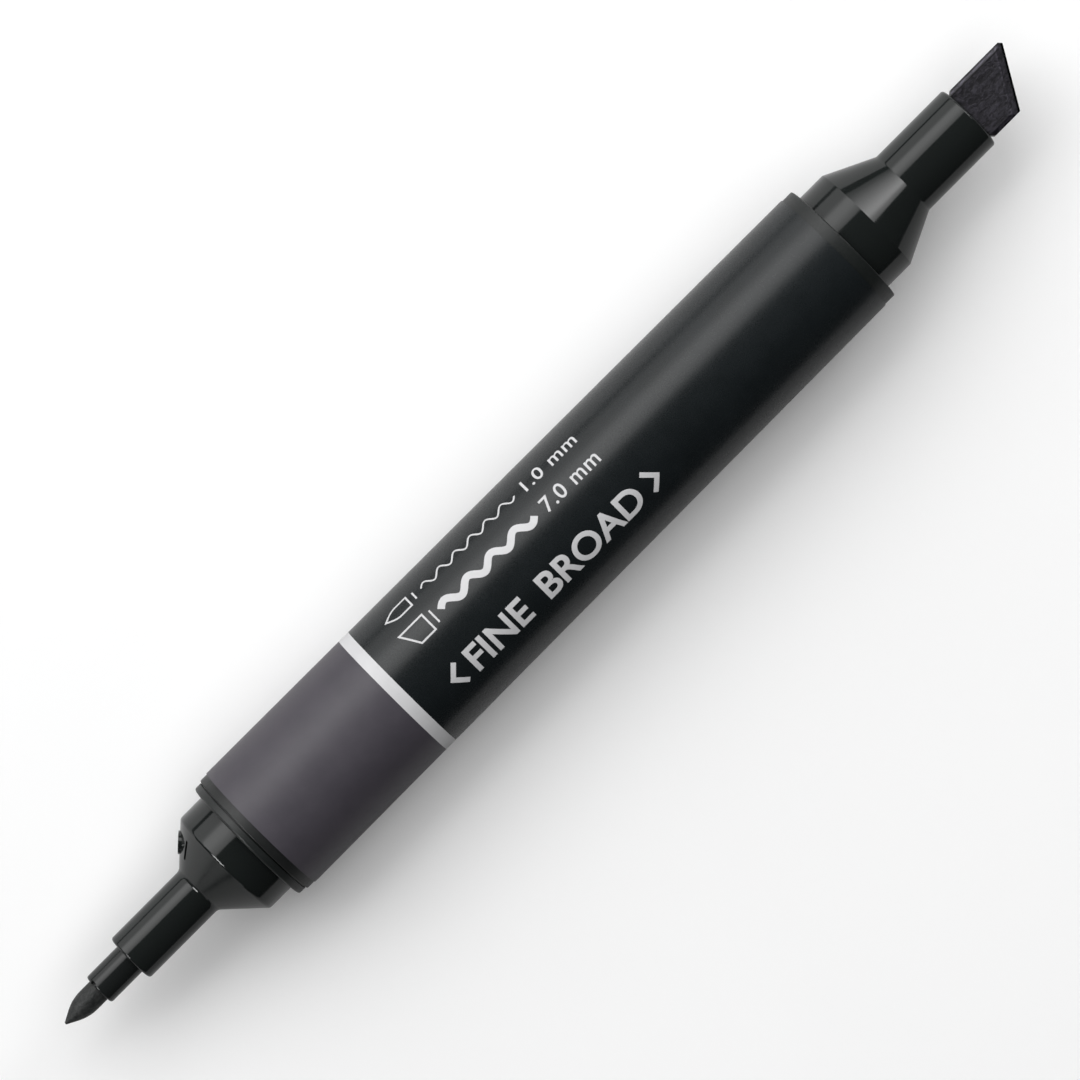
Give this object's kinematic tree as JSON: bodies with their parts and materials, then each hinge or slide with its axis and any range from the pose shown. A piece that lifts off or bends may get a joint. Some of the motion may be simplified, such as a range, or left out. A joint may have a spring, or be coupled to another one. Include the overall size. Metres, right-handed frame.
{
  "type": "twin-tip felt marker",
  "caption": "Felt marker with its caps off: round satin barrel, glossy stepped ends, fine bullet nib at one end and broad chisel nib at the other, fibre ink reservoir inside.",
  "frame": {"origin": "on the marker's axis, midway between the points of the two nibs", "axes": "+X along the axis towards the broad chisel nib, +Z normal to that nib's flat face, +Y towards its long side"},
  "size_m": [0.1372, 0.0156, 0.0156],
  "materials": {
    "end_plastic": "moulded, polished",
    "holder_plastic": "moulded, polished",
    "barrel_plastic": "moulded, satin",
    "label_black": "printed film, satin",
    "label_silver": "printed film, silver grey",
    "label_colour": "printed film, satin",
    "nib_fibre": "pressed fibre soaked with ink",
    "reservoir_fibre": "bonded fibre soaked with ink",
    "reservoir_film": "thin film",
    "breather_plastic": "extruded"
  },
  "bodies": {
    "marker_body": {"barrel_tube": "barrel_plastic", "barrel_label": "label_black", "label_divider_ring": "label_silver", "ink_colour_band": "label_colour", "fine_end_section": "end_plastic", "fine_nib_holder": "holder_plastic", "broad_end_section": "end_plastic", "reservoir_core": "reservoir_fibre", "reservoir_film": "reservoir_film", "breather_tube": "breather_plastic"},
    "fine_nib": {"fine_nib": "nib_fibre"},
    "broad_nib": {"broad_nib": "nib_fibre"}
  },
  "joints": [
    {"name": "fine_nib_pull", "type": "slide", "parent": "marker_body", "child": "fine_nib", "axis": [-1, 0, 0], "range_m": [0, 0.0295]},
    {"name": "broad_nib_pull", "type": "slide", "parent": "marker_body", "child": "broad_nib", "axis": [1, 0, 0], "range_m": [0, 0.027]}
  ]
}
